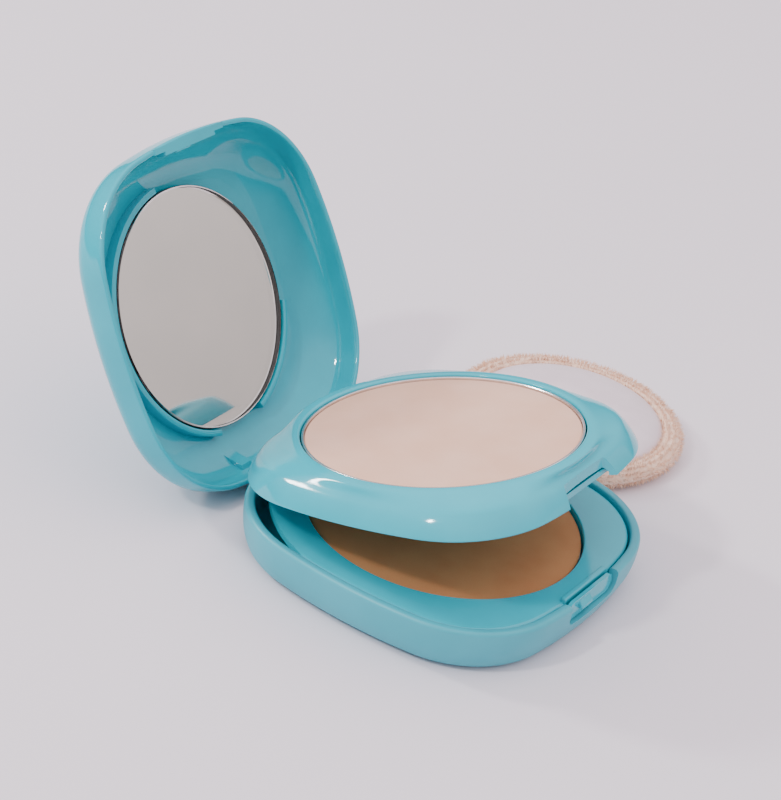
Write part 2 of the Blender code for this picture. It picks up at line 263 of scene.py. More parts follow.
# %% [markdown]
# Pressed powder is talc and mica squeezed into the pan under a cloth-covered stamp. It scatters light
# like chalk, with a very weak sheen from the mica. Its grain is finer than a tenth of a millimetre;
# it is drawn here at 0.25 mm so that it shows at all.

# %% Pressed powder
def pressed_powder(name, low, high, speck):
    material, tree, shader, place = new_material(name)
    drift = cloudy(tree, place, 11 * MM, low, high)
    grains = add_node(
        tree, "ShaderNodeTexNoise", {"Vector": place, "Scale": 1.0 / (0.25 * MM), "Detail": 3.0}
    )
    spots = add_node(
        tree,
        "ShaderNodeMapRange",
        {"Value": grains.outputs["Fac"], "From Min": 0.55, "From Max": 0.80, "To Max": 0.35},
    )
    mix = add_node(
        tree,
        "ShaderNodeMix",
        {0: spots.outputs["Result"], 6: drift, 7: linear(speck)},
        data_type="RGBA",
    )
    tree.links.new(mix.outputs[2], shader.inputs["Base Color"])
    shader.inputs["IOR"].default_value = 1.45
    shader.inputs["Specular IOR Level"].default_value = 0.25
    shader.inputs["Roughness"].default_value = 0.85
    shader.inputs["Sheen Weight"].default_value = 0.08
    bump = add_node(
        tree,
        "ShaderNodeBump",
        {"Height": grains.outputs["Fac"], "Strength": 0.6, "Distance": 0.03 * MM},
    )
    tree.links.new(bump.outputs["Normal"], shader.inputs["Normal"])
    return material


pale_powder = pressed_powder("pale_pressed_powder", "#E8B99E", "#ECC0A8", "#DAA88E")
tan_powder = pressed_powder("tan_pressed_powder", "#B8784A", "#C08252", "#9A6036")

# %% [markdown]
# The pans are drawn aluminium cups. Drawing leaves faint upright lines on the wall, which stretch the
# reflections, and the cut rim is bright. The hinge pins and the spring are plain drawn steel wire.

# %% Metals
def drawn_metal(name, low, high, roughness):
    material, tree, shader, place = new_material(name)
    lines = add_node(tree, "ShaderNodeMapping", {"Vector": place, "Scale": (1.0, 1.0, 0.08)})
    streaks = add_node(
        tree,
        "ShaderNodeTexNoise",
        {"Vector": lines.outputs["Vector"], "Scale": 1.0 / (0.3 * MM), "Detail": 2.0},
    )
    tree.links.new(cloudy(tree, place, 4 * MM, low, high), shader.inputs["Base Color"])
    shader.inputs["Metallic"].default_value = 1.0
    rough = add_node(
        tree,
        "ShaderNodeMapRange",
        {"Value": streaks.outputs["Fac"], "To Min": roughness - 0.06, "To Max": roughness + 0.06},
    )
    tree.links.new(rough.outputs["Result"], shader.inputs["Roughness"])
    bump = add_node(
        tree, "ShaderNodeBump", {"Height": streaks.outputs["Fac"], "Distance": 0.002 * MM}
    )
    tree.links.new(bump.outputs["Normal"], shader.inputs["Normal"])
    return material


aluminium = drawn_metal("drawn_aluminium", "#DDDEE0", "#E8E9EA", 0.24)
steel = drawn_metal("drawn_steel_wire", "#B9BBBE", "#C9CBCE", 0.28)

# %% [markdown]
# The mirror is a pane of clear float glass with a silver coat on its back, so a look into it goes
# through the glass, off the silver and out again. Its edge is ground and has no silver. A slanting look
# near the far side meets that edge instead of the coat. The edge is coloured near black as painted
# shade, standing for the dark seen through it, and that gives the mirror a dark crescent there.

# %% Mirror glass
def glass_layer(name, low, high, roughness, metallic=0.0, clear=0.0):
    material, tree, shader, place = new_material(name)
    tree.links.new(cloudy(tree, place, 20 * MM, low, high), shader.inputs["Base Color"])
    shader.inputs["Metallic"].default_value = metallic
    shader.inputs["Roughness"].default_value = roughness
    if clear:
        shader.inputs["Transmission Weight"].default_value = clear
        shader.inputs["IOR"].default_value = 1.52
    return material


mirror_silver = glass_layer("silver_coat", "#E9E5E2", "#EBE7E4", 0.015, metallic=1.0)
# The ground edge's near-black colour is painted shade, not the colour of ground glass.
ground_edge_painted_shade = glass_layer("ground_glass_edge_painted_shade", "#0C1011", "#151B1C", 0.5)
clear_glass = glass_layer("clear_float_glass", "#F3F7F5", "#F7FAF8", 0.0, clear=1.0)
print("mirror:", clear_glass.name, mirror_silver.name, ground_edge_painted_shade.name)

# %% [markdown]
# The glue that holds the pans and the tape behind the mirror are hidden, but they are there: a milky
# hot-melt glue with small bubbles, and a grey foam tape.

# %% Glue and tape
def milky(name, low, high, roughness, grain):
    material, tree, shader, place = new_material(name)
    tree.links.new(cloudy(tree, place, grain, low, high, detail=5.0), shader.inputs["Base Color"])
    shader.inputs["Roughness"].default_value = roughness
    lumps = add_node(
        tree, "ShaderNodeTexNoise", {"Vector": place, "Scale": 1.0 / grain, "Detail": 3.0}
    )
    bump = add_node(tree, "ShaderNodeBump", {"Height": lumps.outputs["Fac"], "Distance": 0.1 * MM})
    tree.links.new(bump.outputs["Normal"], shader.inputs["Normal"])
    return material


glue = milky("hot_melt_glue", "#E8E4D4", "#F1EEE2", 0.35, 1.2 * MM)
tape = milky("foam_tape", "#8E9092", "#A2A4A6", 0.9, 0.4 * MM)
foam = milky("polyurethane_foam", "#E9D9C8", "#F2E6D8", 0.95, 0.5 * MM)

# %% [markdown]
# The plan of the case is a soft square: four long shallow arcs for its sides, four short arcs for its
# corners. It could be drawn with a superellipse, but arcs are what a toolmaker cuts, and walls drawn in
# from them stay parallel. A spin of one point draws each arc, and the next starts where it ends.

# %% Plan of the case
base_low, base_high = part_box("base_shell")
HALF_DEPTH = 0.0377
HALF = ((base_high.x - base_low.x) / 2, HALF_DEPTH)
CORNER = 0.0239
BULGE = 0.0010
SIDE_STEPS = 22
CORNER_STEPS = 30
print("case half width and half depth in mm", [round(1000 * v, 2) for v in HALF])


def draw_plan():
    """The plan as (point, way outward) pairs, anticlockwise, from eight spins."""
    bm = bmesh.new()
    plan = []
    for quarter in range(4):
        turn = Matrix.Rotation(quarter * math.pi / 2, 3, "Z")
        along = HALF[quarter % 2] - CORNER - BULGE
        off = HALF[(quarter + 1) % 2] - CORNER
        radius = (along**2 + BULGE**2) / (2 * BULGE)
        lean = math.asin(along / radius)
        across = off - BULGE
        next_lean = math.asin(across / ((across**2 + BULGE**2) / (2 * BULGE)))
        centre = Vector((0, off - radius, 0))
        start = centre + Matrix.Rotation(-lean, 3, "Z") @ Vector((0, radius + CORNER, 0))
        arcs = (
            (centre, 2 * lean, SIDE_STEPS),
            (Vector((-along, across, 0)), math.pi / 2 - lean - next_lean, CORNER_STEPS),
        )
        for middle, angle, steps in arcs:
            bm.verts.new(turn @ start)
            first = len(bm.verts) - 1
            bm.verts.ensure_lookup_table()
            bmesh.ops.spin(
                bm,
                geom=[bm.verts[first]],
                cent=turn @ middle,
                axis=(0, 0, 1),
                angle=angle,
                steps=steps,
            )
            bm.verts.ensure_lookup_table()
            arc = [bm.verts[i].co.copy() for i in range(first, len(bm.verts))]
            plan += [(point, (point - turn @ middle).normalized()) for point in arc[:-1]]
            start = turn.inverted() @ arc[-1]
    bm.free()
    return plan


PLAN = draw_plan()
print("plan has", len(PLAN), "points")

# %% [markdown]
# Every moulded shell is drawn the same way. A ring of points follows the plan, its edges are extruded,
# and the new points move to the next row of the wall's section. A row is either the plan drawn in by
# some distance or a circle, at a height. Rows of one stretch lie on a smooth curve, and a new stretch
# starts a sharp edge.

# %% Helpers for shells
def on_plan(inset, height):
    return [Vector((*(point - inset * out).xy, height)) for point, out in PLAN]


def on_circle(radius, height):
    return [Vector((*(point.normalized() * radius).xy, height)) for point, _ in PLAN]


def curve_point(before, start, end, after, share):
    """A point on the smooth curve that runs through start and end."""
    square = share * share
    cube = square * share
    return (
        before * (-cube + 2 * square - share)
        + start * (3 * cube - 5 * square + 2)
        + end * (-3 * cube + 4 * square + share)
        + after * (cube - square)
    ) / 2


def wall_rows(stretches, steps):
    """All rows of the stretches, each with steps-1 more rows between two that were given."""
    rows = []
    for stretch in stretches:
        count = steps if len(stretch) > 2 else 1
        for i in range(len(stretch) - 1):
            before = stretch[max(i - 1, 0)]
            after = stretch[min(i + 2, len(stretch) - 1)]
            for step in range(count):
                share = step / count
                rows.append(
                    [
                        curve_point(*four, share)
                        for four in zip(before, stretch[i], stretch[i + 1], after)
                    ]
                )
    rows.append(stretches[-1][-1])
    return rows


def shell(stretches, steps=4, capped=True):
    """A closed body whose wall runs through the stretches of rows."""
    rows = wall_rows(stretches, steps)
    bm = bmesh.new()
    station = bm.verts.layers.int.new("station")
    verts = [bm.verts.new(point) for point in rows[0]]
    for number, vert in enumerate(verts):
        vert[station] = number
    edges = [bm.edges.new((verts[i - 1], verts[i])) for i in range(len(verts))]
    first = list(edges)
    for row in rows[1:]:
        made = bmesh.ops.extrude_edge_only(bm, edges=edges)["geom"]
        fresh = {item for item in made if isinstance(item, bmesh.types.BMVert)}
        for vert in fresh:
            vert.co = row[vert[station]]
        edges = [
            item
            for item in made
            if isinstance(item, bmesh.types.BMEdge) and set(item.verts) <= fresh
        ]
    if capped:
        bmesh.ops.edgeloop_fill(bm, edges=first)
        bmesh.ops.edgeloop_fill(bm, edges=edges)
    bmesh.ops.remove_doubles(bm, verts=bm.verts, dist=1e-7)
    bmesh.ops.recalc_face_normals(bm, faces=bm.faces)
    return bm


def turned(profile, centre=(0, 0), steps=144):
    """A body of revolution about an upright axis, from (radius, height) pairs that start and end on it."""
    bm = bmesh.new()
    corners = [bm.verts.new((radius, 0, height)) for radius, height in profile]
    edges = [bm.edges.new(pair) for pair in zip(corners, corners[1:])]
    bmesh.ops.spin(
        bm,
        geom=corners + edges,
        cent=(0, 0, 0),
        axis=(0, 0, 1),
        angle=2 * math.pi,
        steps=steps,
        use_merge=True,
    )
    bmesh.ops.remove_doubles(bm, verts=bm.verts, dist=1e-7)
    bmesh.ops.recalc_face_normals(bm, faces=bm.faces)
    bmesh.ops.translate(bm, verts=bm.verts, vec=(*centre, 0))
    return bm


def block(low, high, rounding=0.0, axis="y", segments=6):
    """A box between two corners, with its edges along one axis rounded, or all of them."""
    bm = bmesh.new()
    bmesh.ops.create_cube(bm, size=1)
    low = Vector(low)
    high = Vector(high)
    bmesh.ops.scale(bm, vec=high - low, verts=bm.verts)
    bmesh.ops.translate(bm, vec=(low + high) / 2, verts=bm.verts)
    if rounding:
        number = "xyz".find(axis)
        chosen = [
            edge
            for edge in bm.edges
            if number < 0 or abs(edge.verts[0].co[number] - edge.verts[1].co[number]) > 1e-5
        ]
        bmesh.ops.bevel(
            bm,
            geom=chosen,
            offset=rounding,
            segments=segments,
            affect="EDGES",
            profile=0.5,
            material=-1,
        )
    return bm


def swept(section, start, end, steps=60):
    """A closed section of (radius, height) pairs, swept about Z from one bearing to another."""
    bm = bmesh.new()
    turn = Matrix.Rotation(math.radians(start), 3, "Z")
    corners = [bm.verts.new(turn @ Vector((radius, 0, height))) for radius, height in section]
    face = bm.faces.new(corners)
    bmesh.ops.spin(
        bm,
        geom=[face, *face.edges, *corners],
        cent=(0, 0, 0),
        axis=(0, 0, 1),
        angle=math.radians(end - start),
        steps=steps,
    )
    bmesh.ops.recalc_face_normals(bm, faces=bm.faces)
    return bm


def rod(radius, low_x, high_x, steps=48):
    """A round bar along the hinge line."""
    bm = bmesh.new()
    bmesh.ops.create_cone(
        bm, cap_ends=True, segments=steps, radius1=radius, radius2=radius, depth=high_x - low_x
    )
    bmesh.ops.rotate(bm, verts=bm.verts, matrix=Matrix.Rotation(math.pi / 2, 3, "Y"))
    bmesh.ops.translate(bm, verts=bm.verts, vec=((low_x + high_x) / 2, hinge.y, hinge.z))
    return bm


# %% [markdown]
# A Boolean modifier cuts or joins one body with another, as a pocket is milled into a mould. It is
# applied at once, so that what is kept is plain mesh.

# %% Helpers that finish a piece
def as_object(bm, name, materials=()):
    mesh = bpy.data.meshes.new(name)
    bm.to_mesh(mesh)
    bm.free()
    for material in materials:
        mesh.materials.append(material)
    item = bpy.data.objects.new(name, mesh)
    bpy.context.scene.collection.objects.link(item)
    return item


def combine(item, bm, operation):
    """Cuts the bmesh from the item, or joins it on, and applies that."""
    tool = as_object(bm, "tool", item.data.materials)
    modifier = item.modifiers.new("combine", "BOOLEAN")
    modifier.operation = operation
    modifier.solver = "EXACT"
    modifier.object = tool
    graph = bpy.context.evaluated_depsgraph_get()
    mesh = bpy.data.meshes.new_from_object(item.evaluated_get(graph))
    item.modifiers.clear()
    item.data = mesh
    bpy.data.objects.remove(tool, do_unlink=True)
    return item


def clean(item):
    """Merges points that a cut left closer than a hundredth of a millimetre."""
    bm = bmesh.new()
    bm.from_mesh(item.data)
    bmesh.ops.remove_doubles(bm, verts=bm.verts, dist=0.01 * MM)
    bmesh.ops.dissolve_degenerate(bm, edges=bm.edges, dist=0.002 * MM)
    bm.to_mesh(item.data)
    bm.free()


def finish_piece(item, body, node, smooth_angle=35.0):
    """Opens the piece with its leaf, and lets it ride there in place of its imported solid."""
    clean(item)
    item.data.transform(OPENED[body])
    item.data.shade_smooth()
    item.data.set_sharp_from_angle(angle=math.radians(smooth_angle))
    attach(item, body)
    if node:
        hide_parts(node)
    box = [Vector(corner) for corner in item.bound_box]
    size = [1000 * (max(c[i] for c in box) - min(c[i] for c in box)) for i in range(3)]
    print(item.name, [round(v, 2) for v in size], "mm,", len(item.data.polygons), "faces")
    return item


def paint(item, number, chosen):
    """Gives the faces for which chosen(centre, normal) holds the material of that number."""
    for face in item.data.polygons:
        if chosen(face.center, face.normal):
            face.material_index = number


def side_span(span, side):
    """A span along X on the right (side 1) or the left (side -1)."""
    return span if side > 0 else (-span[1], -span[0])


# %% [markdown]
# The base shell is a shallow dish with a rounded foot and a rounded rim. A pocket in its front wall
# holds the latch button, a pocket in its back wall the hinge, and two drilled cheeks there the pins.
# The shell carries the satin and the polished material, but all its faces keep the satin one.

# %% Base shell
CHEEK_R = 0.0023
PIN_HOLE_R = 0.00095


def add_base_shell():
    outer = [(5.8, 0.0), (3.4, 0.5), (2.0, 1.3), (1.2, 2.6), (0.5, 4.7), (0.1, 7.2), (0.0, 9.3)]
    rim = [(0.0, 9.3), (0.0, 9.9), (0.2, 10.35), (0.6, 10.65)]
    rim += [(1.1, 10.7), (1.7, 10.62), (2.05, 10.4), (2.2, 10.0)]
    inner = [(2.2, 10.0), (2.2, 3.2)]
    floor = [(2.2, 3.2), (2.5, 2.3), (3.2, 1.8), (5.2, 1.6)]
    stretches = [[on_plan(i * MM, z * MM) for i, z in part] for part in (outer, rim, inner, floor)]
    item = as_object(shell(stretches), "base_casing", (satin_abs, gloss_abs))
    latch_pocket = block((-0.0095, -0.045, 0.0056), (0.0095, -0.0340, 0.014), 0.0022, segments=10)
    combine(item, latch_pocket, "DIFFERENCE")
    hinge_pocket = block((-0.0106, 0.0330, 0.0023), (0.0106, 0.045, 0.014))
    combine(item, hinge_pocket, "DIFFERENCE")
    for side in (-1, 1):
        low, high = side_span((0.0109, 0.0146), side)
        combine(item, rod(CHEEK_R, low, high), "UNION")
        low, high = side_span((0.0100, 0.0140), side)
        combine(item, rod(PIN_HOLE_R, low, high), "DIFFERENCE")
    return finish_piece(item, "base", "base_shell")


base_casing = add_base_shell()

# %% [markdown]
# The deck is the plate that drops into the base and frames the lower pan. Its outer edge is rounded
# over, which leaves a dark line between it and the rim. In front a rib stands guard behind the latch.
# Its back corners are cut on a circle, clear of the hinge.

# %% Deck
DECK_BACK_R = 0.0373


def add_deck():
    lip = [
        [on_circle(0.0297, 0.0050), on_circle(0.0298, 0.0097)],
        [on_circle(0.0298, 0.0097), on_circle(0.02989, 0.00991), on_circle(0.0301, 0.0100)],
        [on_circle(0.0301, 0.0100), on_plan(0.0036, 0.0100)],
        [
            on_plan(0.0036, 0.0100),
            on_plan(0.0031, 0.0099),
            on_plan(0.0027, 0.0096),
            on_plan(0.0026, 0.0092),
        ],
        [on_plan(0.0026, 0.0092), on_plan(0.0026, 0.0033)],
        [on_plan(0.0026, 0.0033), on_plan(0.0037, 0.0033)],
        [on_plan(0.0037, 0.0033), on_plan(0.0037, 0.0087)],
        [on_plan(0.0037, 0.0087), on_circle(0.0309, 0.0087)],
        [on_circle(0.0309, 0.0087), on_circle(0.0309, 0.0041)],
    ]
    item = as_object(shell(lip), "deck", (semi_gloss_abs,))
    latch_cut = block((-0.0100, -0.045, 0.0), (0.0100, -0.0349, 0.014), 0.0008, "z")
    combine(item, latch_cut, "DIFFERENCE")
    combine(item, block((-0.0100, -0.0360, 0.0), (0.0100, -0.0330, 0.0086)), "DIFFERENCE")
    hinge_cut = block((-0.0150, 0.0330, 0.0), (0.0150, 0.045, 0.014))
    combine(item, hinge_cut, "DIFFERENCE")
    ring = [(DECK_BACK_R, 0.001), (0.0500, 0.001), (0.0500, 0.014), (DECK_BACK_R, 0.014)]
    combine(item, swept(ring, 9, 171), "DIFFERENCE")
    rib = block((-0.0086, -0.0349, 0.0091), (0.0086, -0.0336, 0.0109), 0.0004, "all")
    combine(item, rib, "UNION")
    return finish_piece(item, "base", "base_deck")


deck = add_deck()

# %% [markdown]
# The latch button is a plate behind the front wall with a square hook and two legs that guide it.

# %% Latch button
def add_button():
    plate = block((-0.0090, -0.0363, 0.0060), (0.0090, -0.0355, 0.0104), 0.0019, segments=10)
    item = as_object(plate, "latch_press_button", (semi_gloss_abs,))
    hook = block((-0.0048, -0.0373, 0.0078), (-0.0004, -0.0361, 0.0098))
    nose = [vert for vert in hook.verts if vert.co.y < -0.0370 and vert.co.z > 0.009]
    bmesh.ops.translate(hook, vec=(0, 0, -0.0013), verts=nose)
    bmesh.ops.bevel(
        hook, geom=hook.edges[:], offset=0.0003, segments=4, affect="EDGES", profile=0.5, material=-1
    )
    combine(item, hook, "UNION")
    for side in (-1, 1):
        near, far = side_span((0.0050, 0.0080), side)
        leg = block((near, -0.0357, 0.0062), (far, -0.0334, 0.0074), 0.0002, "y", 3)
        combine(item, leg, "UNION")
    return finish_piece(item, "latch", "latch_button")


latch_press_button = add_button()

# %% [markdown]
# Each pan is a drawn cup with a rolled lower corner and a cut rim. The cake of powder is pressed into
# it, and its edge is slightly rounded where the stamp let go of it. The pale cake lies a little below
# its rim. The tan cake stands over the rim of its cup and reaches out almost to the deck.

# %% Pans and powders
def add_pan(name, node, body, floor_z, depth):
    top = floor_z + depth
    profile = [
        (0.0, floor_z),
        (0.0287, floor_z),
        (0.0291, floor_z + 0.0001),
        (0.0294, floor_z + 0.0004),
        (0.0295, floor_z + 0.0008),
        (0.0295, top - 0.00008),
        (0.02942, top),
        (0.02908, top),
        (0.0290, top - 0.00008),
        (0.0290, floor_z + 0.0005),
        (0.0, floor_z + 0.0005),
    ]
    return finish_piece(as_object(turned(profile), name, (aluminium,)), body, node)


def add_powder(name, node, body, floor_z, reach, material):
    low = floor_z + 0.0006
    top = floor_z + 0.0035
    profile = [(0.0, low), (0.0288, low), (0.0288, top - 0.0006)]
    profile += [(reach, top - 0.0005), (reach, top - 0.00035)]
    profile += [(reach - 0.00008, top - 0.0002), (reach - 0.0002, top - 0.00008), (reach - 0.0004, top)]
    profile += [(0.0240, top + 0.00005), (0.0160, top + 0.00012), (0.0080, top + 0.00018)]
    profile += [(0.0, top + 0.0002)]
    return finish_piece(as_object(turned(profile), name, (material,)), body, node)


LOWER_FLOOR = 0.0057
UPPER_FLOOR = 0.0166
lower_cup = add_pan("lower_cup", "lower_pan", "base", LOWER_FLOOR, 0.0028)
upper_cup = add_pan("upper_cup", "upper_pan", "tray", UPPER_FLOOR, 0.0039)
tan_cake = add_powder(
    "tan_cake", "lower_powder", "base", LOWER_FLOOR, 0.0294, tan_powder
)
pale_cake = add_powder(
    "pale_cake", "upper_powder", "tray", UPPER_FLOOR, 0.0289, pale_powder
)

# %% [markdown]
# The middle leaf is a domed ring round the upper pan. Its lower edge is thin and straight. A finger
# notch is cut through its front wall, and two arms reach down to the hinge pins.

# %% Middle leaf
def cut_notch(item, half, front, back, low, high, inner):
    """A pocket through the front wall, narrower at its back, with rounded upright edges."""
    bm = block((-half, front, low), (half, back, high))
    far = [vert for vert in bm.verts if vert.co.y > (front + back) / 2]
    bmesh.ops.scale(bm, vec=(inner, 1.0, 1.0), verts=far)
    upright = [
        edge
        for edge in bm.edges
        if abs(edge.verts[0].co.z - edge.verts[1].co.z) > 1e-5 and edge.verts[0].co.y > front + 1e-5
    ]
    bmesh.ops.bevel(
        bm, geom=upright, offset=0.0006, segments=5, affect="EDGES", profile=0.5, material=-1
    )
    combine(item, bm, "DIFFERENCE")


def add_arms(item, span, web_low, web_high):
    for side in (-1, 1):
        low, high = side_span(span, side)
        combine(item, rod(0.0020, low, high), "UNION")
        near = (low + 0.0003, web_low[0], web_low[1])
        far = (high - 0.0003, web_high[0], web_high[1])
        combine(item, block(near, far), "UNION")


def drill_pins(item, span):
    for side in (-1, 1):
        low, high = side_span(span, side)
        combine(item, rod(PIN_HOLE_R, low, high), "DIFFERENCE")


def add_tray():
    edge = 0.0140
    dome = [
        on_plan(0.00155, edge + 0.00015),
        on_plan(0.0019, 0.0149),
        on_plan(0.0027, 0.0163),
        on_plan(0.0039, 0.0179),
        on_plan(0.0055, 0.0192),
        on_circle(0.0325, 0.0206),
        on_circle(0.0310, 0.0209),
        on_circle(0.03025, 0.02088),
        on_circle(0.0299, 0.0207),
        on_circle(0.0298, 0.0204),
    ]
    stretches = [
        [on_plan(0.0017, edge), on_plan(0.00158, edge + 0.00004), on_plan(0.00155, edge + 0.00015)],
        dome,
        [on_circle(0.0298, 0.0204), on_circle(0.0298, 0.0156)],
        [on_circle(0.0298, 0.0156), on_circle(0.0309, 0.0156)],
        [on_circle(0.0309, 0.0156), on_circle(0.0310, 0.0190)],
        [
            on_circle(0.0310, 0.0190),
            on_plan(0.0062, 0.0180),
            on_plan(0.0046, 0.0164),
            on_plan(0.0031, 0.0147),
        ],
        [on_plan(0.0031, 0.0147), on_plan(0.0031, edge)],
        [on_plan(0.0031, edge), on_plan(0.0017, edge)],
    ]
    item = as_object(shell(stretches, capped=False), "middle_leaf", (semi_gloss_abs, gloss_abs))
    cut_notch(item, 0.0114, -0.0386, -0.0333, 0.0100, 0.0250, 0.71)
    add_arms(item, (0.0018, 0.0059), (0.0349, hinge.z - 0.0003), (0.0362, 0.0150))
    drill_pins(item, (0.0010, 0.0070))
    return finish_piece(item, "tray", "tray_frame")


def add_underplate():
    rows = [
        [on_plan(0.0036, 0.0140), on_plan(0.0034, 0.0142)],
        [on_plan(0.0034, 0.0142), on_plan(0.0034, 0.0145)],
        [on_plan(0.0034, 0.0145), on_plan(0.0042, 0.0153)],
    ]
    item = as_object(shell(rows), "middle_leaf_floor", (gloss_abs,))
    notch_cut = block((-0.0106, -0.045, 0.010), (0.0106, -0.0330, 0.025), 0.0006, "z")
    combine(item, notch_cut, "DIFFERENCE")
    arm_cut = block((-0.0062, 0.0343, 0.0), (0.0062, 0.045, 0.02))
    combine(item, arm_cut, "DIFFERENCE")
    return finish_piece(item, "tray", "tray_underplate")


middle_leaf = add_tray()
middle_leaf_floor = add_underplate()

# %% [markdown]
# The lid is a deep dish. Round the mirror stand two curved ribs that centre it, and on the front edge
# is the catch that the latch hook holds: a flange with a deeper middle and a small tooth. Two arms
# reach down to the pins, outside those of the tray, and a sloping gusset stiffens the wall near one.

# %% Lid
def mirror_rib(start, end):
    """A rib round the mirror, with its free edges rounded."""
    inner, outer, low, high, fillet = 0.0270, 0.0284, 0.0210, 0.0241, 0.0003
    section = [(inner, high), (inner, low + fillet), (inner + 0.3 * fillet, low + 0.3 * fillet)]
    section += [(inner + fillet, low), (outer - fillet, low)]
    section += [(outer - 0.3 * fillet, low + 0.3 * fillet), (outer, low + fillet), (outer, high)]
    return swept(section, start, end)


def add_lid():
    outer = [(0.0, 11.6), (0.0, 15.0), (0.4, 17.1), (1.6, 18.9), (3.6, 20.8), (6.4, 22.7)]
    outer += [(10.0, 24.3), (15.0, 25.2), (21.0, 25.6)]
    inner = [(1.2, 11.5), (1.2, 15.0), (1.7, 17.0), (3.2, 19.2), (5.6, 21.3), (8.6, 22.9), (12.0, 23.6)]
    lip = [(1.2, 11.5), (1.1, 11.15), (0.85, 11.0), (0.4, 11.0), (0.1, 11.2), (0.0, 11.6)]
    stretches = [
        [on_plan(0.021, 0.0236), on_plan(0.012, 0.0236)],
        [on_plan(i * MM, z * MM) for i, z in reversed(inner)],
        [on_plan(i * MM, z * MM) for i, z in lip],
        [on_plan(i * MM, z * MM) for i, z in outer],
    ]
    item = as_object(shell(stretches), "lid_casing", (gloss_abs, satin_abs))
    for start, end in ((103, 262), (15, 71)):
        combine(item, mirror_rib(start, end), "UNION")
    flange = block((-0.0120, -0.0371, 0.0108), (0.0120, -0.0358, 0.0150), 0.0006)
    combine(item, flange, "UNION")
    flange_middle = block((-0.0088, -0.0362, 0.0108), (0.0088, -0.0350, 0.0136), 0.0006)
    combine(item, flange_middle, "UNION")
    tooth = block((-0.0051, -0.0355, 0.0109), (-0.0001, -0.0346, 0.0120), 0.0003, "all", 3)
    combine(item, tooth, "UNION")
    # The gusset's top leans in with the wall, so that its back stays inside the wall.
    gusset = block((-0.0076, 0.0346, 0.0172), (-0.0042, 0.0366, 0.0222))
    for vert in [vert for vert in gusset.verts if vert.co.z > 0.02]:
        vert.co.y -= 0.0034 if vert.co.y < 0.0355 else 0.0050
    combine(item, gusset, "UNION")
    add_arms(item, (0.0063, 0.0103), (0.0352, hinge.z - 0.0003), (0.0374, 0.0128))
    drill_pins(item, (0.0060, 0.0108))
    return finish_piece(item, "lid", "lid_shell")


lid_casing = add_lid()

# %% [markdown]
# The mirror is a round pane with a small bevel. Its front is clear glass, its back the silver coat and
# its edge ground glass coloured near black as painted shade, set face by face while the pane still lies
# level.

# %% Mirror
def add_mirror():
    low = 0.0212
    back = low + 0.0018
    radius = 0.0266
    profile = [
        (0.0, low),
        (radius - 0.0004, low),
        (radius - 0.0001, low + 0.0002),
        (radius, low + 0.0003),
        (radius, back - 0.0001),
        (radius - 0.0001, back),
        (0.0, back),
    ]
    item = as_object(turned(profile, steps=192), "mirror_pane", (clear_glass, mirror_silver, ground_edge_painted_shade))
    paint(item, 1, lambda centre, normal: normal.z > 0.9)
    # The outermost ring of faces gets the edge's near-black painted shade.
    edge_width = 0.00012
    paint(item, 2, lambda centre, normal: centre.xy.length > radius - edge_width)
    return finish_piece(item, "lid", "mirror", smooth_angle=12.0)


mirror_pane = add_mirror()

# %% [markdown]
# Pins, spring, glue and tape keep their imported solids, whose shapes are right, and only get a
# better material.

# %% Materials for the imported solids that stay
KEPT = {
    "hinge_pin_left": steel,
    "hinge_pin_right": steel,
    "latch_spring": steel,
    "upper_pan_glue": glue,
    "lower_pan_glue": glue,
    "mirror_tape": tape,
}
for name, material in KEPT.items():
    item = frame["nodes"][name]
    item.data.materials.clear()
    item.data.materials.append(material)
print("kept", len(KEPT), "packed solids")

# %% [markdown]
# The puff is a round pad: a velour cup gathered over foam, and a satin face sewn in at its top. The
# velour's pile stands about a millimetre, so its outline is furry. A modelled tuft, repeated over the
# cup's side and rim, gives that outline from every side.

# %% Puff materials
def satin_weave():
    material, tree, shader, place = new_material("woven_polyester_satin")
    tree.links.new(cloudy(tree, place, 6 * MM, "#E2D0D8", "#E8D8DF"), shader.inputs["Base Color"])
    threads = add_node(
        tree,
        "ShaderNodeTexWave",
        {"Vector": place, "Scale": 1.0 / (0.5 * MM), "Distortion": 1.5, "Detail": 1.0},
        bands_direction="Y",
    )
    bump = add_node(
        tree,
        "ShaderNodeBump",
        {"Height": threads.outputs["Fac"], "Strength": 0.4, "Distance": 0.01 * MM},
    )
    tree.links.new(bump.outputs["Normal"], shader.inputs["Normal"])
    shader.inputs["Roughness"].default_value = 0.38
    shader.inputs["Sheen Weight"].default_value = 0.25
    shader.inputs["Sheen Roughness"].default_value = 0.4
    return material


def pile(name, low, high):
    material, tree, shader, place = new_material(name)
    tree.links.new(
        cloudy(tree, place, 1.2 * MM, low, high, detail=4.0), shader.inputs["Base Color"]
    )
    shader.inputs["Roughness"].default_value = 0.95
    shader.inputs["Specular IOR Level"].default_value = 0.1
    shader.inputs["Sheen Weight"].default_value = 0.5
    shader.inputs["Sheen Roughness"].default_value = 0.6
    lumps = add_node(
        tree, "ShaderNodeTexNoise", {"Vector": place, "Scale": 1.0 / (0.5 * MM), "Detail": 3.0}
    )
    bump = add_node(tree, "ShaderNodeBump", {"Height": lumps.outputs["Fac"], "Distance": 0.2 * MM})
    tree.links.new(bump.outputs["Normal"], shader.inputs["Normal"])
    return material


satin = satin_weave()
velour = pile("knitted_velour_pile", "#F0C8AA", "#F8DAC4")

# %% [markdown]
# The cup's rim curls over the satin face. The satin is domed over the foam and dips at its seam. All
# three are bodies of revolution, as the puff is sewn round.

# %% Puff
velour_low, velour_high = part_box("puff_velour")
PUFF_R = (velour_high.x - velour_low.x) / 2
PUFF_CENTRE = ((velour_high.x + velour_low.x) / 2, (velour_high.y + velour_low.y) / 2)
print("puff radius in mm", round(1000 * PUFF_R, 2))
print("puff centre in mm", [round(1000 * v, 2) for v in PUFF_CENTRE])


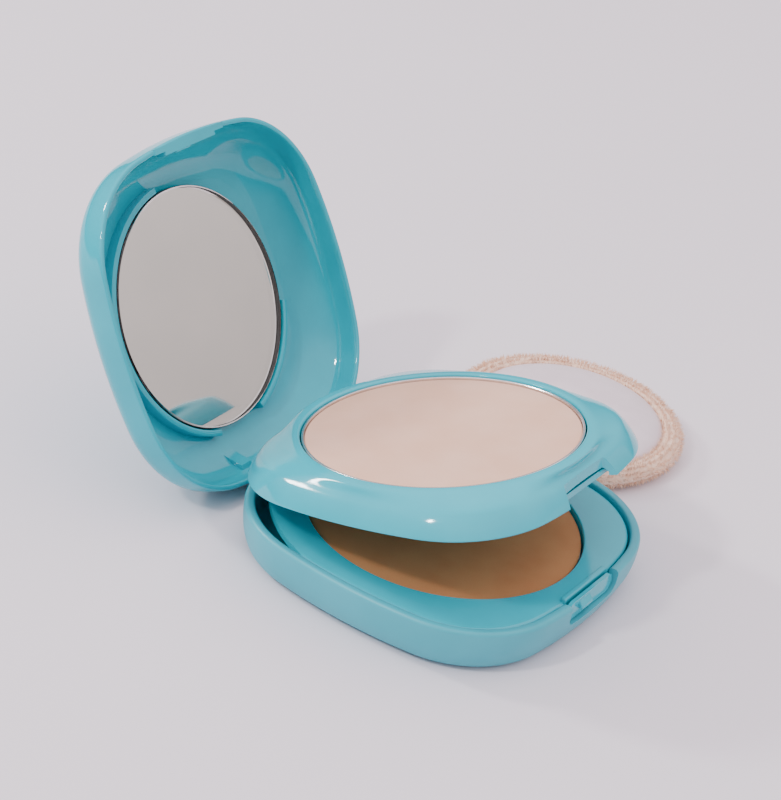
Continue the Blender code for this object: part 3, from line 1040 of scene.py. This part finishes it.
def add_velour_cup():
    r = PUFF_R - 0.0009
    profile = [(0.0, 0.0006), (r - 0.0060, 0.0006), (r - 0.0025, 0.0009), (r - 0.0008, 0.0017)]
    profile += [(r, 0.0028), (r - 0.0003, 0.0038), (r - 0.0012, 0.0046), (r - 0.0026, 0.0050)]
    profile += [(r - 0.0040, 0.0048), (r - 0.0050, 0.0042), (r - 0.0053, 0.0034)]
    profile += [(r - 0.0058, 0.0020), (0.0, 0.0015)]
    item = as_object(turned(profile, PUFF_CENTRE, 180), "velour_cup", (velour,))
    return finish_piece(item, "puff", "puff_velour", smooth_angle=80.0)


def add_satin_face():
    r = PUFF_R - 0.0058
    profile = [(0.0, 0.0076), (0.0100, 0.0071), (0.0170, 0.0060), (r - 0.0010, 0.0044), (r, 0.0043)]
    profile += [(r - 0.0001, 0.0048), (r - 0.0012, 0.0055), (r - 0.0030, 0.0062), (0.0170, 0.0068)]
    profile += [(0.0140, 0.0074), (0.0080, 0.0080), (0.0, 0.0083)]
    item = as_object(turned(profile, PUFF_CENTRE, 180), "satin_face", (satin,))
    return finish_piece(item, "puff", "puff_satin", smooth_angle=80.0)


def add_foam_core():
    r = PUFF_R - 0.0070
    profile = [(0.0, 0.0017), (r - 0.0030, 0.0019), (r - 0.0008, 0.0026), (r, 0.0036)]
    profile += [(r - 0.0010, 0.0042)]
    profile += [(0.0165, 0.0056), (0.0100, 0.0067), (0.0, 0.0072)]
    item = as_object(turned(profile, PUFF_CENTRE, 120), "foam_core", (foam,))
    return finish_piece(item, "puff", "puff_foam", smooth_angle=80.0)


velour_cup = add_velour_cup()
satin_face = add_satin_face()
foam_core = add_foam_core()

# %% [markdown]
# A tuft is a thin bent blade of two faces. Twelve thousand of them stand on the cup, leaning at random,
# and together make one mesh. None may reach below the table.

# %% Pile
RIM_WIDTH = 0.0062
ABOVE_TABLE = 0.0001


def add_pile_tufts(count=12000):
    rng = random.Random(7)
    bm = bmesh.new()
    middle = Vector((*PUFF_CENTRE, 0.004))
    outer = [f for f in velour_cup.data.polygons if f.center.z > 0.0008]
    outer = [f for f in outer if (f.center.xy - middle.xy).length > PUFF_R - RIM_WIDTH]
    outer = [f for f in outer if f.normal.z > 0.3 or f.normal.dot(f.center - middle) > 0]
    areas = [f.area for f in outer]
    for face in rng.choices(outer, weights=areas, k=count):
        corners = [velour_cup.data.vertices[i].co for i in face.vertices]
        mix = [rng.random() for _ in corners]
        total = sum(mix)
        root = sum((c * (m / total) for c, m in zip(corners, mix)), Vector())
        lean = Vector((rng.uniform(-1, 1), rng.uniform(-1, 1), rng.uniform(-1, 1))) * 0.55
        way = (face.normal + lean).normalized()
        length = rng.uniform(0.0006, 0.0014)
        aside = Vector((rng.uniform(-1, 1), rng.uniform(-1, 1), rng.uniform(-1, 1)))
        side = way.cross(aside).normalized()
        width = rng.uniform(0.00006, 0.00012)
        bend = side.cross(way) * rng.uniform(-0.3, 0.3) * length
        tip = root + way * length + bend
        tip.z = max(tip.z, ABOVE_TABLE)
        knee = root + way * length * 0.55
        knee.z = max(knee.z, ABOVE_TABLE)
        foot = root - way * 0.0002
        points = [foot - side * width, foot + side * width]
        points += [knee + side * width * 0.8, tip, knee - side * width * 0.8]
        verts = [bm.verts.new(p) for p in points]
        bm.faces.new((verts[0], verts[1], verts[2], verts[4]))
        bm.faces.new((verts[4], verts[2], verts[3]))
    item = as_object(bm, "velour_tufts", (velour,))
    item.data.shade_smooth()
    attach(item, "puff")
    return item


velour_tufts = add_pile_tufts()
print("tufts:", len(velour_tufts.data.polygons), "faces")

# %% [markdown]
# The case stands on a pale, matt table that runs out far beyond it.

# %% Table
def add_floor():
    bm = bmesh.new()
    bmesh.ops.create_grid(bm, x_segments=2, y_segments=2, size=3.0)
    material, tree, shader, place = new_material("matt_paper")
    tree.links.new(cloudy(tree, place, 0.2, "#EAE2E9", "#ECE4EB"), shader.inputs["Base Color"])
    shader.inputs["Roughness"].default_value = 0.9
    shader.inputs["Specular IOR Level"].default_value = 0.2
    item = as_object(bm, "table", (material,))
    return item


table = add_floor()

# %% [markdown]
# Most of the light comes from a pale room, bright overhead and dim near the table. Two small
# rectangular lamps, one behind the case and one to its left, add the highlights and the faint shadows.
# A wide pale card in front on the right is what the mirror shows.

# %% Light
LIT_POINT = Vector((0, 0.01, 0.02))


def add_lamp(name, azimuth, elevation, distance, width, height, power, colour="#FFFFFF"):
    """A rectangular lamp that faces the case. Azimuth 0 is in front of it and 90 to its right."""
    a, e = math.radians(azimuth), math.radians(elevation)
    way = Vector((math.sin(a) * math.cos(e), -math.cos(a) * math.cos(e), math.sin(e)))
    data = bpy.data.lights.new(name, "AREA")
    data.shape = "RECTANGLE"
    data.size = width
    data.size_y = height
    data.energy = power
    data.color = linear(colour)[:3]
    lamp = bpy.data.objects.new(name, data)
    facing = way.to_track_quat("Z", "Y").to_matrix().to_4x4()
    lamp.matrix_world = Matrix.Translation(LIT_POINT + way * distance) @ facing
    bpy.context.scene.collection.objects.link(lamp)
    return lamp


def light_room(colour, strength):
    """A room that is bright overhead and dim near the floor."""
    world = bpy.data.worlds.new("pale_room")
    world.use_nodes = True
    tree = world.node_tree
    way = add_node(tree, "ShaderNodeTexCoord").outputs["Generated"]
    height = add_node(tree, "ShaderNodeSeparateXYZ", {"Vector": way})
    ramp = add_node(tree, "ShaderNodeValToRGB", {"Fac": height.outputs["Z"]})
    ramp.color_ramp.elements[0].position = 0.05
    ramp.color_ramp.elements[0].color = linear("#3E3A3C")
    ramp.color_ramp.elements[1].position = 0.75
    ramp.color_ramp.elements[1].color = linear(colour)
    background = tree.nodes["Background"]
    tree.links.new(ramp.outputs["Color"], background.inputs["Color"])
    background.inputs["Strength"].default_value = strength
    bpy.context.scene.world = world


add_lamp("rear_lamp", -165, 31, 1.3, 0.14, 0.16, 7.0)
add_lamp("side_lamp", -112, 44, 1.3, 0.09, 0.11, 6.0)
add_lamp("pale_card", 48, 11, 1.5, 1.3, 0.7, 1.75, "#E3D3CE")
light_room("#E2DAE0", 2.35)

# %% [markdown]
# Last, the scene is brought up to date.

# %% Update, and the end
bpy.context.view_layer.update()
